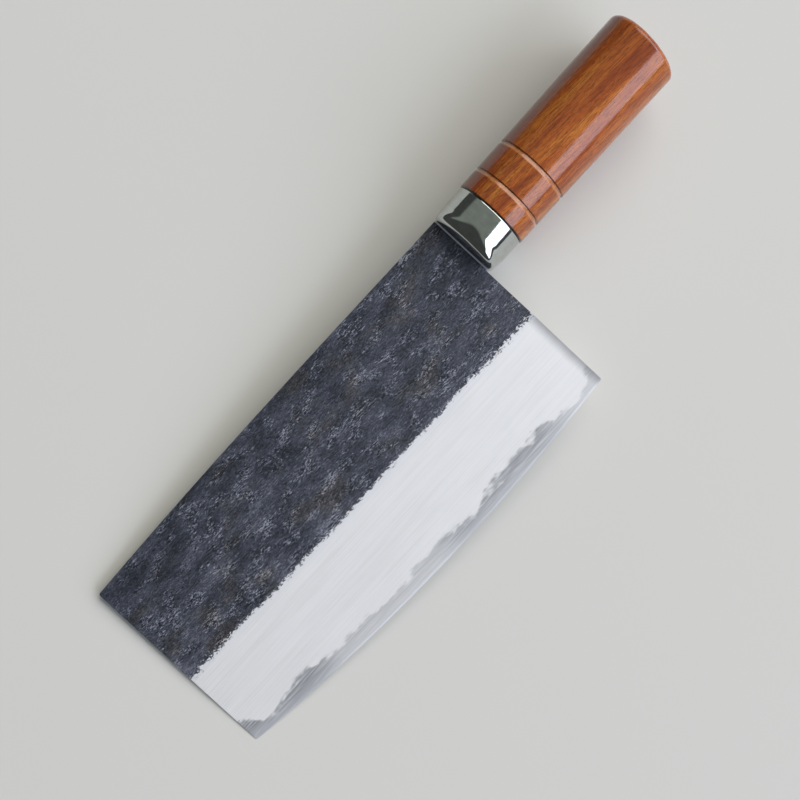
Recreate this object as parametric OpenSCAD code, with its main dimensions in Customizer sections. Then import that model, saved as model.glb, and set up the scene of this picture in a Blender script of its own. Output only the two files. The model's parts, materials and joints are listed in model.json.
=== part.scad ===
// A cleaver with a forged three-layer blade, a hollow polished ferrule and a turned hardwood
// handle. Each piece is built in the knife's own frame: X runs from the front of the blade to
// the butt, Y rises to the spine, Z is the thickness, and the handle axis is y = z = 0.
// The whole knife is then laid on its right side, as it rests on a table, with +Z up.

/* [Blade outline] */
// Length of the blade from the ferrule to the front end, along the spine
blade_len = 200.8; // [150:0.1:230]
// How far the spine lies below the upper edge of the ferrule's front
spine_step = 0.6; // [0.2:0.1:2]
// How far the spine drops from the ferrule to the front end
spine_fall = 0.1; // [0:0.1:6]
// Crown of the spine over its length
spine_crown = 1.1; // [0:0.1:4]
// How far the crown is set towards the front, where 1 is no set
crown_set = 1.3; // [1:0.1:2]
// Depth of the cutting edge below the handle axis at its lowest point
edge_depth = 79.9; // [65:0.1:95]
// Distance from the ferrule to the lowest point of the edge
belly_place = 84; // [60:1:120]
// Radius of the cutting edge
edge_radius = 915; // [600:5:2000]
// How far the front end leans forward from spine to edge
front_lean = 0.6; // [0:0.1:6]
// How far the heel is set forward of the ferrule's front
heel_set = 0.7; // [0.2:0.1:2]
// How far the heel leans forward from the ferrule to the edge
heel_lean = 0.4; // [0:0.1:6]
// Radius of the blade's corners
corner_r = 0.6; // [0.5:0.1:4]

/* [Blade section] */
// Thickness of the spine at the ferrule
spine_t = 3.4; // [2.8:0.1:5]
// Thickness of the spine at the front end
front_t = 2; // [1.4:0.1:2.6]
// Depth of the grind line below the handle axis at the heel
grind_heel = 37.6; // [26:0.1:46]
// Depth of the grind line below the handle axis at the front end
grind_front = 35.4; // [26:0.1:46]
// How far the grind line bows down between its ends
grind_bow = 1.2; // [0:0.1:4]
// Thickness of the blade just above the sharpened bevel
shoulder_t = 0.4; // [0.36:0.02:0.6]
// Angle of the sharpened bevel on each side
bevel_angle = 15; // [10:1:25]
// Thickness of the hard core at the spine
core_t = 1.1; // [0.6:0.1:1.2]
// Thickness of the hard core at the cutting edge
core_edge_t = 0.3; // [0.2:0.02:0.32]
// Mean height of the soft layers' end above the cutting edge
clad_rise = 6.5; // [5:0.1:9]
// Greatest swing of the soft layers' end up and down
clad_wave = 5.8; // [0:0.1:5.8]

/* [Neck and tang] */
// Width of the neck that enters the ferrule
neck_w = 21; // [14:0.5:22]
// Thickness of the neck
neck_t = 3; // [2.2:0.1:3.2]
// Length of the neck behind the blade
neck_len = 9.5; // [7:0.5:10]
// Diameter of the tang rod
tang_d = 8; // [6:0.5:10]
// Length of the tang rod
tang_len = 80; // [50:1:85]
// How far the forked end of the tang overlaps the neck
fork_len = 6.5; // [4:0.5:6.5]

/* [Ferrule] */
// Length of the ferrule
ferrule_len = 16.4; // [16:0.1:26]
// Width of the ferrule at its front, from spine side to edge side
ferrule_w = 30; // [27:0.2:32]
// Thickness of the ferrule's flat front face
ferrule_t = 19; // [12:0.5:24]
// Diameter of the ferrule's round rear end
ferrule_d = 31.6; // [31.2:0.1:33]
// Length of the nose, over which the round section turns into the flat front face
nose_len = 7.4; // [6:0.1:9]
// Squareness of the front face, where 2 is an ellipse
front_square = 3.4; // [2.4:0.1:8]
// Radius of the corners between the ferrule's sides and its front, seen from above
side_r = 1.8; // [1:0.1:3]
// Length of the narrow rim between the front face and the nose
rim_len = 0.4; // [0.2:0.1:0.8]
// Wall thickness of the ferrule
ferrule_wall = 1.2; // [0.8:0.1:1.5]
// Thickness of the ferrule's front wall
front_wall = 2; // [1.4:0.1:3]
// Depth of the round socket that takes the handle's spigot
socket_depth = 6.4; // [4:0.1:7]
// Step between the ferrule's hollow and its socket, on which the spigot seats
seat_step = 0.5; // [0.3:0.1:1]
// Clearance round the neck in the ferrule's slot
slot_clearance = 0.15; // [0.05:0.05:0.4]

/* [Handle] */
// Length of the visible wood
wood_len = 89.4; // [86:0.1:130]
// Diameter of the wood behind the ferrule
wood_front_d = 32.3; // [32.2:0.1:36]
// Diameter of the wood at its widest, near the butt
wood_butt_d = 33.2; // [32.8:0.1:40]
// Radius of the rounded butt
butt_r = 3.2; // [2.4:0.1:9]
// Height of the slight dome on the butt
butt_dome = 0.8; // [0.2:0.1:2]
// Distance from the ferrule to the bottom of the first turned groove
groove_place = 9.8; // [6:0.1:14]
// Distance between the two turned grooves
groove_pitch = 14.2; // [6:0.1:30]
// Width of a turned groove
groove_w = 2.2; // [1:0.1:3]
// Depth of a turned groove
groove_depth = 0.6; // [0.4:0.1:1]
// Clearance round the spigot in the ferrule's socket
spigot_clearance = 0.1; // [0.05:0.05:0.3]
// Gap round the tang rod that the glue fills
glue_gap = 0.5; // [0.3:0.1:1]

/* [Hidden] */

STEEL_BRIGHT = "gainsboro";
STEEL_DARK = "dimgray";
STEEL_PLAIN = "slategray";
STEEL_POLISHED = "silver";
WOOD = "peru";
GLUE = "khaki";

// Where the cutting tools and slabs reach beyond the piece that they cut
over = 5;
stations = 40;
wave_points = 100;
corner_steps = 5;
ring_sides = 64;
turned_steps = 6;

// Heights of the outline in the knife's frame, as functions of the place along the blade
spine_heel = ferrule_w / 2 - spine_step;
function share(x) = -x / blade_len;
function bow(s) = 4 * s * (1 - s);
function spine_y(x) = spine_heel - spine_fall * share(x) + spine_crown * bow(pow(share(x), crown_set));
function edge_y(x) = edge_radius - edge_depth - sqrt(pow(edge_radius, 2) - pow(x + belly_place, 2));
function grind_y(x) = -grind_heel + (grind_heel - grind_front) * share(x) - grind_bow * bow(share(x));

// Half thicknesses of the flats, of the core and of the bevel
flat_slope = (spine_t - front_t) / 2 / blade_len;
function flat_z(x) = spine_t / 2 + flat_slope * x;
core_slope = (core_t - core_edge_t) / 2 / (spine_heel + edge_depth);
function core_z(y) = core_edge_t / 2 + core_slope * (y + edge_depth);
bevel_rise = shoulder_t / 2 / tan(bevel_angle);

// The end of the soft layers waves as the forged layers do, lower towards the heel
function wave(x) = (sin(x * 7 + 79) + sin(x * 8 + 20) + 0.6 * sin(x * 9.5 - 36)) / 2.6;
function clad_y(x) = edge_y(x) + clad_rise + clad_wave * wave(x);

// Front and heel ends of the blade's outline
front_top = [-blade_len, spine_y(-blade_len)];
front_low_x = -blade_len - front_lean;
front_low = [front_low_x, edge_y(front_low_x)];
heel_low_x = -heel_set - heel_lean;
heel_low = [heel_low_x, edge_y(heel_low_x)];
shoulder_foot = [0, side_r - ferrule_w / 2];
heel_top = shoulder_foot - [heel_set, heel_set];

// Points of a round corner at b, between the straight stretches from a and to c
function unit2(v) = v / norm(v);
function round_corner(a, b, c, r) =
    let (
        u = unit2(a - b),
        v = unit2(c - b),
        half = acos(u * v) / 2,
        middle = b + unit2(u + v) * r / sin(half),
        from = b + u * r / tan(half) - middle,
        to = b + v * r / tan(half) - middle,
        start = atan2(from[1], from[0]),
        turn = atan2(from[0] * to[1] - from[1] * to[0], from * to)
    )
    [for (i = [0 : corner_steps]) middle + r * [cos(start + turn * i / corner_steps), sin(start + turn * i / corner_steps)]];

spine_points = [for (i = [0 : stations - 1]) let (x = -blade_len * i / stations) [x, spine_y(x)]];
front_corner = round_corner([-blade_len / 2, spine_y(-blade_len)], front_top, front_low, corner_r);
edge_corner = round_corner(front_top, front_low, [-blade_len / 2, edge_y(front_low_x)], corner_r);
heel_corner = round_corner([-blade_len / 2, edge_y(heel_low_x)], heel_low, heel_top, corner_r);
below_front = [front_low_x + corner_r * 1.1, front_low[1] - over];
below_belly = [-belly_place, -edge_depth - over];
below_heel = [heel_low_x - corner_r * 1.1, heel_low[1] - over];

module blade_outline() {
    polygon(concat(
        spine_points, front_corner, edge_corner,
        [below_front, below_belly, below_heel], heel_corner, [heel_top, shoulder_foot]));
}

// Tapers the flats: everything between the left and the right flat of the blade
module flats() {
    far = blade_len + front_lean + over;
    rotate([90, 0, 0])
        linear_extrude(height = 2 * (edge_depth + ferrule_w), center = true)
            polygon([[0, flat_z(0)], [-far, flat_z(-far)], [-far, -flat_z(-far)], [0, -flat_z(0)]]);
}

// One side of the grind: a ruled face from the grind line to the shoulder of the bevel, then
// the bevel itself through the cutting edge, with the waste outside it
module grind_waste(side) {
    rows = 5;
    x_from = front_low_x - over;
    x_to = over / 2;
    function station_x(i) = x_from + (x_to - x_from) * i / stations;
    function ring(x) = [
        [x, grind_y(x) + over, flat_z(x) + over * (flat_z(x) - shoulder_t / 2) / (grind_y(x) - edge_y(x))],
        [x, edge_y(x) + bevel_rise, shoulder_t / 2],
        [x, edge_y(x) - 2 * over, -2 * over * tan(bevel_angle)],
        [x, edge_y(x) - 2 * over, spine_t + over],
        [x, grind_y(x) + over, spine_t + over]
    ];
    points = [for (i = [0 : stations]) for (p = ring(station_x(i))) [p[0], p[1], side * p[2]]];
    function faces_of(i, j) =
        let (a = i * rows + j, b = i * rows + (j + 1) % rows)
        [[a, b, b + rows], [a, b + rows, a + rows]];
    sides = [for (i = [0 : stations - 1]) for (j = [0 : rows - 1]) each faces_of(i, j)];
    cap_front = [for (j = [rows - 1 : -1 : 0]) j];
    cap_heel = [for (j = [0 : rows - 1]) stations * rows + j];
    faces = concat(sides, [cap_front, cap_heel]);
    flipped = [for (f = faces) [for (k = [len(f) - 1 : -1 : 0]) f[k]]];
    polyhedron(points = points, faces = side > 0 ? faces : flipped, convexity = 4);
}

// The neck behind the blade, which the ferrule hides
module neck() {
    translate([-over, -neck_w / 2, -neck_t / 2])
        cube([neck_len + over, neck_w, neck_t]);
}

// The forged blade with its neck, before it is parted into its three layers
module blade_body() {
    difference() {
        intersection() {
            linear_extrude(height = 2 * spine_t, center = true) blade_outline();
            flats();
        }
        grind_waste(1);
        grind_waste(-1);
    }
    neck();
}

// The space of one soft layer: outside the core and above its waving lower end
module clad_zone(side) {
    from = front_low_x - over;
    to = neck_len + over;
    wave_line = [for (i = [0 : wave_points]) let (x = from + (to - from) * i / wave_points) [x, clad_y(x)]];
    top = spine_heel + spine_crown + over;
    intersection() {
        linear_extrude(height = 4 * spine_t, center = true)
            polygon(concat(wave_line, [[to, top], [from, top]]));
        mirror([0, 0, side > 0 ? 0 : 1])
            rotate([90, 0, 90])
                translate([0, 0, from - over])
                    linear_extrude(height = to - from + 2 * over)
                        polygon([
                            [-edge_depth - over, core_z(-edge_depth - over)], [top + over, core_z(top + over)],
                            [top + over, 2 * spine_t], [-edge_depth - over, 2 * spine_t]]);
    }
}

module blade_core_shape() {
    difference() {
        blade_body();
        clad_zone(1);
        clad_zone(-1);
    }
}

module cladding_shape(side) {
    intersection() {
        blade_body();
        clad_zone(side);
    }
}

// The tang rod, forked over the neck that it is welded to
module tang_shape() {
    difference() {
        translate([neck_len - fork_len, 0, 0])
            rotate([0, 90, 0])
                cylinder(h = tang_len, d = tang_d, $fn = 48);
        neck();
    }
}

// Ferrule section. Behind a narrow rim, the nose seen from the side is a quarter of an ellipse,
// from the flat front face up to the round rear. Seen from above its sides are nearly straight,
// up to small front corners. The section's exponent falls from the squarer front to the circle.
rim_edge = 0.1;
rear_edge = 0.5;
function ease(s) = s * s * (3 - 2 * s);
function clamp(s) = min(1, max(0, s));
function to_rear(x) = ease(clamp(x / nose_len));
function quarter(x, len) = sqrt(1 - pow(1 - clamp((x - rim_len) / len), 2));
function side_line(x) = (ferrule_w + (ferrule_d - ferrule_w) * to_rear(x)) / 2;
function half_w(x) = side_line(x) - side_r * (1 - quarter(x, side_r));
function half_t(x) = (ferrule_t + (ferrule_d - ferrule_t) * quarter(x, nose_len - rim_len)) / 2;
function power(x) = front_square + (2 - front_square) * to_rear(x);
function ring_point(x, inset, k) =
    let (
        a = 360 * k / ring_sides,
        p = 2 / power(x),
        c = cos(a),
        s = sin(a)
    )
    [x, (half_w(x) - inset) * sign(c) * pow(abs(c), p), (half_t(x) - inset) * sign(s) * pow(abs(s), p)];

// A closed loft through rings, each given by its place and its inset
module ring_loft(rings) {
    count = len(rings);
    points = [for (r = rings) for (k = [0 : ring_sides - 1]) ring_point(r[0], r[1], k)];
    function quad(i, k) =
        let (a = i * ring_sides + k, b = i * ring_sides + (k + 1) % ring_sides)
        [[a, b + ring_sides, b], [a, a + ring_sides, b + ring_sides]];
    sides = [for (i = [0 : count - 2]) for (k = [0 : ring_sides - 1]) each quad(i, k)];
    cap_low = [for (k = [0 : ring_sides - 1]) k];
    cap_high = [for (k = [ring_sides - 1 : -1 : 0]) (count - 1) * ring_sides + k];
    polyhedron(points = points, faces = concat(sides, [cap_low, cap_high]), convexity = 4);
}

cavity_end = ferrule_len - socket_depth;
nose_steps = 12;
body_steps = 3;
cavity_steps = 5;
rim_rings = [[0, rim_edge], [rim_edge, 0]];
nose_rings = [for (i = [0 : nose_steps]) let (a = 90 * i / nose_steps) [rim_len + (nose_len - rim_len) * (1 - cos(a)), 0]];
body_rings = [for (i = [1 : body_steps]) [nose_len + (ferrule_len - rear_edge - nose_len) * i / body_steps, 0]];
rear_rings = [[ferrule_len - rear_edge * 0.3, rear_edge * 0.3], [ferrule_len, rear_edge]];
cavity_rings = [for (i = [0 : cavity_steps]) [front_wall + (cavity_end - front_wall) * i / cavity_steps, ferrule_wall + seat_step]];

module ferrule_cavity() {
    ring_loft(cavity_rings);
}

module ferrule_shape() {
    spigot_r = ferrule_d / 2 - ferrule_wall;
    difference() {
        ring_loft(concat(rim_rings, nose_rings, body_rings, rear_rings));
        ferrule_cavity();
        translate([cavity_end, 0, 0])
            rotate([0, 90, 0])
                cylinder(h = socket_depth + over, r = spigot_r, $fn = 96);
        translate([-over, -neck_w / 2 - slot_clearance, -neck_t / 2 - slot_clearance])
            cube([front_wall + 2 * over, neck_w + 2 * slot_clearance, neck_t + 2 * slot_clearance]);
    }
}

// Profile of the turned wood, as points of place along the axis and radius
butt_x = ferrule_len + wood_len;
wood_edge = 0.6;
bore_r = tang_d / 2 + glue_gap;
bore_end = neck_len - fork_len + tang_len + 2;
groove_places = [ferrule_len + groove_place, ferrule_len + groove_place + groove_pitch];
widest = butt_x - butt_r;
function wood_r(x) =
    let (s = (x - ferrule_len) / (widest - ferrule_len))
    (wood_front_d + (wood_butt_d - wood_front_d) * ease(s)) / 2;
// A groove slopes down over most of its width and comes up steeply at its butt end
groove_slope = 0.85;
function groove_points(x) = [
    [x - groove_w * groove_slope, wood_r(x - groove_w * groove_slope)],
    [x, wood_r(x) - groove_depth],
    [x + groove_w * (1 - groove_slope), wood_r(x + groove_w * (1 - groove_slope))]
];
function plain_points(from, to) = [for (i = [1 : turned_steps - 1]) let (x = from + (to - from) * i / turned_steps) [x, wood_r(x)]];
butt_points = [for (i = [0 : turned_steps]) let (a = 90 * i / turned_steps)
    [widest + (butt_r - butt_dome) * sin(a), wood_butt_d / 2 - butt_r * (1 - cos(a))]];

module handle_shape() {
    profile = concat(
        [[cavity_end, 0], [cavity_end, ferrule_d / 2 - ferrule_wall - spigot_clearance],
         [ferrule_len, ferrule_d / 2 - ferrule_wall - spigot_clearance],
         [ferrule_len, wood_front_d / 2 - wood_edge], [ferrule_len + wood_edge * 0.3, wood_front_d / 2 - wood_edge * 0.3],
         [ferrule_len + wood_edge, wood_front_d / 2]],
        groove_points(groove_places[0]),
        groove_points(groove_places[1]),
        plain_points(groove_places[1], widest),
        butt_points,
        [[butt_x - butt_dome * 0.25, (wood_butt_d / 2 - butt_r) / 2], [butt_x, 0]]);
    difference() {
        rotate([0, 90, 0])
            rotate_extrude($fn = 96)
                polygon([for (p = profile) [p[1], p[0]]]);
        translate([cavity_end - over, 0, 0])
            rotate([0, 90, 0])
                cylinder(h = bore_end - cavity_end + over, r = bore_r, $fn = 48);
    }
}

// Poured glue: it fills the ferrule's hollow and the bore round the tang
module adhesive_shape() {
    difference() {
        union() {
            ferrule_cavity();
            translate([cavity_end - over / 2, 0, 0])
                rotate([0, 90, 0])
                    cylinder(h = bore_end - cavity_end + over / 2, r = bore_r, $fn = 48);
        }
        neck();
        translate([neck_len - fork_len, 0, 0])
            rotate([0, 90, 0])
                cylinder(h = tang_len, d = tang_d, $fn = 48);
    }
}

// Rest pose. The knife touches the table with the front end of its right grind face and with
// its handle end, at the nose of the ferrule or at the front edge of the wood, whichever is
// lower. These contacts give the table's plane, z = c + a x + b y.
rest_g = [front_top[0], grind_y(-blade_len)];
rest_e = [front_low_x, edge_y(front_low_x) + bevel_rise];
rest_zg = -flat_z(-blade_len);
rest_ze = -shoulder_t / 2;
plane_b = (rest_zg - rest_ze) / (rest_g[1] - rest_e[1]);
plane_front = rest_zg - plane_b * rest_g[1];
round_ends = concat([for (r = nose_rings) [r[0], half_t(r[0])]], [[ferrule_len + wood_edge, wood_front_d / 2]]);
plane_a = min([for (p = round_ends) (-p[1] * norm([1, plane_b]) - plane_front) / (p[0] + blade_len)]);
plane_c = plane_front + plane_a * blade_len;

up = [-plane_a, -plane_b, 1] / norm([-plane_a, -plane_b, 1]);
along_raw = [1, 0, 0] - up[0] * up;
along = along_raw / norm(along_raw);
across = cross(up, along);

// Sides of the laid knife's box, for the origin in the middle of its foot
function reach(v, p) = v[0] * p[0] + norm([v[1], v[2]]) * p[1];
box_front = along * [front_low_x, edge_y(front_low_x), 0];
box_butt = max([for (p = butt_points) reach(along, p)]);
box_low = across * [-belly_place, -edge_depth, 0];
box_high = max([for (p = butt_points) reach(across, p)]);
rest_shift = [-(box_front + box_butt) / 2, -(box_low + box_high) / 2, -plane_c * up[2]];

module laid() {
    multmatrix([
        [along[0], along[1], along[2], rest_shift[0]],
        [across[0], across[1], across[2], rest_shift[1]],
        [up[0], up[1], up[2], rest_shift[2]],
        [0, 0, 0, 1]]) children();
}

module blade_core() { color(STEEL_BRIGHT) laid() blade_core_shape(); }
module left_cladding() { color(STEEL_DARK) laid() cladding_shape(1); }
module right_cladding() { color(STEEL_DARK) laid() cladding_shape(-1); }
module tang() { color(STEEL_PLAIN) laid() tang_shape(); }
module ferrule() { color(STEEL_POLISHED) laid() ferrule_shape(); }
module handle() { color(WOOD) laid() handle_shape(); }
module tang_adhesive() { color(GLUE) laid() adhesive_shape(); }

blade_core();
left_cladding();
right_cladding();
tang();
ferrule();
handle();
tang_adhesive();
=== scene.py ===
"""A cleaver with a forged three-layer blade, a polished ferrule and a turned wood handle.

The knife lies on its right side on a pale table. Sizes are in millimetres of the knife's own
frame: X runs from the front of the blade to the butt, Y rises to the spine, Z comes out of the
left flat, and the handle's axis is y = z = 0.
"""

import json
import logging
import math
from dataclasses import dataclass, field
from enum import Enum

import bmesh
import bpy
import numpy as np
from mathutils import Matrix, Vector, noise

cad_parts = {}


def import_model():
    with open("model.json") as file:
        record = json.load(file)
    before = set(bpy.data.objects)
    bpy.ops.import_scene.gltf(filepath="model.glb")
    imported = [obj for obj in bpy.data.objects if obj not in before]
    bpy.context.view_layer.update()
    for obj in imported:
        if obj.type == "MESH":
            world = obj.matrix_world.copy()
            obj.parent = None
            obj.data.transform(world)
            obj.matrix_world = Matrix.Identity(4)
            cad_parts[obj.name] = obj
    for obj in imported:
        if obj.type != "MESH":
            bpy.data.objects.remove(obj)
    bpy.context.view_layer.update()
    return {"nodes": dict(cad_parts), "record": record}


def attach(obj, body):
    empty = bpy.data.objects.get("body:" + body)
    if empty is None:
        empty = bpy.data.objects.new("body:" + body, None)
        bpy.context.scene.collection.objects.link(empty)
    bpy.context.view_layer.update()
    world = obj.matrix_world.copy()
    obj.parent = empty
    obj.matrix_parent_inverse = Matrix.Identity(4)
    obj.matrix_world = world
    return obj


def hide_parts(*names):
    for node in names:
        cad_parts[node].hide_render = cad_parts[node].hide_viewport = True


LOG = logging.getLogger("cleaver")
MM = 0.001
SHARP_DEG = 32.0
MERGE_MM = 0.0005
# Settings of a Map Range node that rises smoothly, and of a Mix node for colours
SMOOTH = {"interpolation_type": "SMOOTHSTEP"}
COLOURS = {"data_type": "RGBA"}
# A Mix node's factor, its two numbers and its two colours, and its output for colours
FACTOR, FROM, TO, FIRST, SECOND, MIXED = 0, 2, 3, 6, 7, 2
# Waves of the soft layers' end: degrees per millimetre, start in degrees, and share
CLAD_WAVES = ((7.0, 79.0, 1.0), (8.0, 20.0, 1.0), (9.5, -36.0, 0.6))
CLAD_WAVE_SUM = 2.6
# Where the record's two mounts lie, in millimetres of the knife's frame
MOUNTS_AT = (-100.0, -8.0, 0.0)

Number = float | np.ndarray


class Slot(Enum):
    """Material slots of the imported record, for the pieces that are built anew."""

    CLADDING = "forged_cladding"
    FERRULE = "polished_ferrule"
    WOOD = "lacquered_wood"


class Side(Enum):
    """The two faces of the blade, as the sign of Z."""

    LEFT = 1
    RIGHT = -1


def srgb(code: str) -> tuple[float, float, float, float]:
    """Turn a hex colour into linear values.

    Args:
        code: The colour as six hex digits, with or without a leading hash.

    Returns:
        Red, green, blue and a full alpha.
    """
    digits = code.lstrip("#")
    parts = [int(digits[i:i + 2], 16) / 255 for i in (0, 2, 4)]
    linear = [p / 12.92 if p <= 0.04045 else ((p + 0.055) / 1.055) ** 2.4 for p in parts]
    return linear[0], linear[1], linear[2], 1.0


def ease(share: Number) -> Number:
    """Smooth step of a share, number or array, held between 0 and 1."""
    held = np.clip(share, 0.0, 1.0)
    return held * held * (3 - 2 * held)


@dataclass(frozen=True)
class KnifeFrame:
    """The knife's own frame: X towards the butt, Y towards the spine, Z out of the left flat."""

    turn: Matrix
    origin: Vector

    @classmethod
    def from_record(cls, record: dict) -> "KnifeFrame":
        """Work the frame out from the two flats that the record gives as mounts.

        Args:
            record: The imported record.

        Returns:
            The knife's frame.
        """
        mounts = {m["name"]: m for m in record["mounts"]}
        left, right = mounts["left_flat"], mounts["right_flat"]
        out_left, out_right = Vector(left["axis"]), Vector(right["axis"])
        z_axis = (out_left - out_right).normalized()
        x_axis = -(out_left + out_right)
        x_axis = (x_axis - z_axis * x_axis.dot(z_axis)).normalized()
        y_axis = z_axis.cross(x_axis)
        turn = Matrix((x_axis, y_axis, z_axis)).transposed()
        middle = (Vector(left["pos_m"]) + Vector(right["pos_m"])) / 2
        return cls(turn, middle - turn @ (Vector(MOUNTS_AT) * MM))

    def place(self, x: float, y: float, z: float) -> Vector:
        """Place in the scene of a point given in millimetres of the knife's frame."""
        return self.origin + self.turn @ (Vector((x, y, z)) * MM)

    def matrix(self) -> Matrix:
        """Matrix that takes millimetres of the knife's frame to the scene."""
        return Matrix.Translation(self.origin) @ self.turn.to_4x4() @ Matrix.Scale(MM, 4)


@dataclass(frozen=True)
class BladeShape:
    """Outline and section of the forged blade, in millimetres, as the frame's solids have them."""

    length: float = 200.8
    spine_heel: float = 14.4
    spine_fall: float = 0.1
    spine_crown: float = 1.1
    crown_set: float = 1.3
    edge_depth: float = 79.9
    belly_place: float = 84.0
    edge_radius: float = 915.0
    front_lean: float = 0.6
    heel_set: float = 0.7
    heel_lean: float = 0.4
    shoulder_low: float = -13.2
    corner_r: float = 0.6
    spine_t: float = 3.4
    front_t: float = 2.0
    grind_heel: float = 37.6
    grind_front: float = 35.4
    grind_bow: float = 1.2
    shoulder_t: float = 0.4
    bevel_rise: float = 0.746
    grind_over: float = 5.0
    core_t: float = 1.1
    core_edge_t: float = 0.3
    clad_rise: float = 6.5
    clad_wave: float = 5.8
    clad_over: float = 5.0
    clad_stations: int = 101
    neck_w: float = 21.0
    neck_t: float = 3.0
    neck_len: float = 9.5
    neck_from: float = -1.0

    def share(self, x: Number) -> Number:
        """Share of the blade's length in front of the ferrule."""
        return np.clip(-x / self.length, 0.0, None)

    def spine_y(self, x: Number) -> Number:
        """Height of the spine.

        Args:
            x: Place along the blade.

        Returns:
            The height.
        """
        share = self.share(x)
        set_share = share ** self.crown_set
        crown = self.spine_crown * 4 * set_share * (1 - set_share)
        return self.spine_heel - self.spine_fall * share + crown

    def edge_y(self, x: Number) -> Number:
        """Height of the cutting edge."""
        return self.edge_radius - self.edge_depth - np.sqrt(self.edge_radius ** 2 - (x + self.belly_place) ** 2)

    def grind_y(self, x: Number) -> Number:
        """Height of the grind line.

        Args:
            x: Place along the blade.

        Returns:
            The height.
        """
        share = -x / self.length
        bow = self.grind_bow * 4 * share * (1 - share)
        return -self.grind_heel + (self.grind_heel - self.grind_front) * share - bow

    def clad_y(self, x: Number) -> Number:
        """Height of the soft layers' waving end, straight between the solids' stations.

        Args:
            x: Place along the blade.

        Returns:
            The height.
        """
        over = self.clad_over
        stations = np.linspace(-self.length - self.front_lean - over, self.neck_len + over, self.clad_stations)
        rates, starts, shares = np.transpose(CLAD_WAVES)
        wave = np.sin(np.radians(np.outer(stations, rates) + starts)) @ shares / CLAD_WAVE_SUM
        line = self.edge_y(stations) + self.clad_rise + self.clad_wave * wave
        return np.interp(x, stations, line)

    def flat_z(self, x: Number) -> Number:
        """Half thickness of the flats."""
        return self.spine_t / 2 + (self.spine_t - self.front_t) / 2 / self.length * x

    def ground_z(self, x: Number, y: Number) -> Number:
        """Half thickness of the ground face, carried on above the grind line.

        Args:
            x: Place along the blade.
            y: Height.

        Returns:
            The half thickness.
        """
        flat, grind, edge = self.flat_z(x), self.grind_y(x), self.edge_y(x)
        half = self.shoulder_t / 2
        top = flat + self.grind_over * (flat - half) / (grind - edge)
        slope = (top - half) / (grind + self.grind_over - edge - self.bevel_rise)
        return half + slope * (y - edge - self.bevel_rise)

    def core_z(self, y: Number) -> Number:
        """Half thickness of the hard core."""
        slope = (self.core_t - self.core_edge_t) / 2 / (self.spine_heel + self.edge_depth)
        return self.core_edge_t / 2 + slope * (y + self.edge_depth)

    def front_x(self, y: Number) -> Number:
        """Front end of the blade at a height, with the round corner at the spine.

        Args:
            y: Height.

        Returns:
            The place along the blade.
        """
        top = self.spine_y(-self.length)
        low = self.edge_y(-self.length - self.front_lean)
        line = -self.length - self.front_lean * (top - y) / (top - low)
        near = np.clip(self.corner_r - (top - y), 0.0, self.corner_r)
        return line + self.corner_r - np.sqrt(self.corner_r ** 2 - near ** 2)

    def heel_x(self, y: Number) -> Number:
        """Heel end of the blade at a height: the shoulder on the ferrule, then the leaning heel.

        Args:
            y: Height.

        Returns:
            The place along the blade.
        """
        top = self.shoulder_low - self.heel_set
        low = self.edge_y(-self.heel_set - self.heel_lean)
        places = (-self.heel_set - self.heel_lean, -self.heel_set, 0.0)
        return np.interp(y, (low, top, self.shoulder_low), places)


def finish_mesh(mesh: bpy.types.Mesh, frame: KnifeFrame) -> None:
    """Merge doubles, point the faces outwards, smooth the mesh and lay it in the scene.

    Args:
        mesh: A mesh in millimetres of the knife's frame.
        frame: The knife's frame.
    """
    work = bmesh.new()
    work.from_mesh(mesh)
    bmesh.ops.remove_doubles(work, verts=work.verts, dist=MERGE_MM)
    bmesh.ops.recalc_face_normals(work, faces=work.faces)
    work.to_mesh(mesh)
    work.free()
    mesh.transform(frame.matrix())
    mesh.polygons.foreach_set("use_smooth", [True] * len(mesh.polygons))
    mesh.set_sharp_from_angle(angle=math.radians(SHARP_DEG))
    mesh.update()


def seat(mesh: bpy.types.Mesh, node: str, slot: Slot, material: bpy.types.Material) -> bpy.types.Object:
    """Put a finished mesh into the scene in the place of a node.

    Args:
        mesh: The mesh, already laid in the scene.
        node: The node that it stands for.
        slot: The record's material slot; not used.
        material: The finish.

    Returns:
        The new object.
    """
    piece = bpy.data.objects.new(mesh.name, mesh)
    bpy.context.collection.objects.link(piece)
    mesh.materials.clear()
    mesh.materials.append(material)
    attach(piece, "root")
    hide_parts(node)
    LOG.info("%s stands for %s, %d faces, in %s", piece.name, node, len(mesh.polygons), material.name)
    return piece


def closed_sheet(outer: np.ndarray, inner: np.ndarray) -> tuple[list, list]:
    """Close a grid of outer points with walls round its border and one plane face inside.

    Args:
        outer: Points of the shown face, rows by columns by three.
        inner: Points of the hidden face, of the same shape; only the border is used.

    Returns:
        Vertices and faces.
    """
    rows, columns = outer.shape[:2]
    index = np.arange(rows * columns).reshape(rows, columns)
    faces = np.stack([index[:-1, :-1], index[:-1, 1:], index[1:, 1:], index[1:, :-1]], -1).reshape(-1, 4).tolist()
    loop = [(0, c) for c in range(columns)] + [(r, columns - 1) for r in range(1, rows)]
    loop += [(rows - 1, c) for c in range(columns - 2, -1, -1)] + [(r, 0) for r in range(rows - 2, 0, -1)]
    base = rows * columns
    low = list(range(base, base + len(loop)))
    high = [int(index[r, c]) for r, c in loop]
    for k in range(len(loop)):
        after = (k + 1) % len(loop)
        faces.append([high[after], high[k], low[k], low[after]])
    faces.append(low)
    points = outer.reshape(-1, 3).tolist() + [inner[r, c].tolist() for r, c in loop]
    return points, faces


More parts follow.
